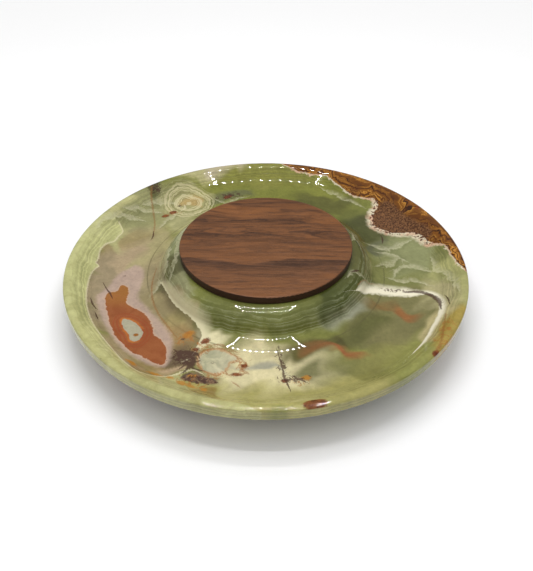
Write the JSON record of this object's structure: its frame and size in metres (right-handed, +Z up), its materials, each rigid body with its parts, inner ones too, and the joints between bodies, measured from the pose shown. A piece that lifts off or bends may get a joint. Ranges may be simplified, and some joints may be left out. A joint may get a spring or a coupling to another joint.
{
  "type": "chip and dip server",
  "caption": "Round stone chip and dip platter: a ring-shaped trough around a raised central dip bowl, with a flat round wooden lid that lifts off the bowl.",
  "frame": {"origin": "on the table, under the middle of the server, at the level of the pads' undersides", "axes": "+Z up along the axis the platter was turned about; -Y towards the viewer, so that the lid's grain runs along X"},
  "size_m": [0.3048, 0.3048, 0.0465],
  "materials": {
    "green_onyx": "polished",
    "lid_wood": "oiled",
    "register_wood": "oiled",
    "silicone": "satin",
    "pad": "satin"
  },
  "bodies": {
    "platter": {"onyx_platter": "green_onyx", "foot_front_right": "pad", "foot_back_right": "pad", "foot_back_left": "pad", "foot_front_left": "pad"},
    "lid": {"lid_plate": "lid_wood", "lid_register": "register_wood", "lid_seal": "silicone"}
  },
  "joints": [
    {"name": "lid_lift", "type": "slide", "parent": "platter", "child": "lid", "axis": [0, 0, 1], "range_m": [0, 0.06]}
  ]
}
